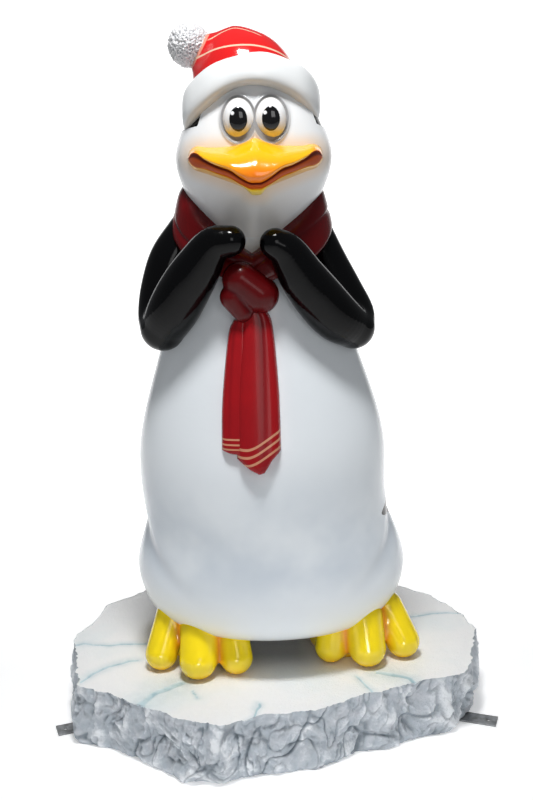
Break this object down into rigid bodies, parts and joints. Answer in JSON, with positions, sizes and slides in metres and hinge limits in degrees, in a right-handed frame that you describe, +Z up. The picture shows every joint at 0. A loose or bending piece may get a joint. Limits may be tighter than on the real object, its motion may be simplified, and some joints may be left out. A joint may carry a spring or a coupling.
{
  "type": "penguin display statue",
  "caption": "Standing painted penguin figure in a bobble hat and scarf, wings folded on its chest, on an ice-floe plinth with drilled floor-fixing tabs.",
  "frame": {"origin": "on the floor at the middle of the plinth", "axes": "+Z up, the penguin faces -Y, its own left side is +X"},
  "size_m": [1.191, 0.893, 1.813],
  "materials": {
    "ice": "matt painted laminate, grey-blue sides",
    "plywood": "sealed plywood",
    "frame_steel": "primed mild steel",
    "tab_steel": "bare flat bar",
    "armature_steel": "primed mild steel",
    "zinc": "zinc plated",
    "white_gloss": "high gloss paint on laminate",
    "black_gloss": "high gloss paint on laminate",
    "yellow_gloss": "high gloss paint on laminate",
    "scarf_red": "high gloss paint on laminate",
    "brim_white": "satin paint on laminate",
    "hat_red": "high gloss paint on laminate",
    "bobble_white": "crinkled coating",
    "bill_yellow": "high gloss paint on laminate",
    "mouth_brown": "high gloss paint on laminate",
    "eye_white": "high gloss paint on laminate",
    "pupil_black": "high gloss paint on laminate"
  },
  "bodies": {
    "root": {"ice_plinth_shell": "ice", "deck_board": "plywood", "frame_rails": "frame_steel", "frame_cross_tubes": "frame_steel", "frame_uprights": "frame_steel", "fixing_tab_right": "tab_steel", "fixing_tab_left": "tab_steel", "leg_post_right": "armature_steel", "leg_post_left": "armature_steel", "hip_bar": "armature_steel", "spine_tube": "armature_steel", "shoulder_bar": "armature_steel", "plate_bolts": "zinc", "plate_nuts": "zinc", "plate_washers": "zinc", "body_front_shell": "white_gloss", "body_back_shell": "black_gloss", "face_shell": "white_gloss", "head_back_shell": "black_gloss", "foot_right": "yellow_gloss", "foot_left": "yellow_gloss", "tail_stub": "black_gloss", "scarf_collar": "scarf_red", "scarf_knot": "scarf_red", "scarf_front_end": "scarf_red", "scarf_back_end": "scarf_red", "wing_right": "black_gloss", "wing_left": "black_gloss", "hat_brim": "brim_white", "hat_crown": "hat_red", "hat_pompom": "bobble_white", "upper_bill": "bill_yellow", "mouth_line": "mouth_brown", "lower_bill": "bill_yellow", "eye_right": "eye_white", "eye_left": "eye_white", "pupil_right": "pupil_black", "pupil_left": "pupil_black"}
  },
  "joints": []
}
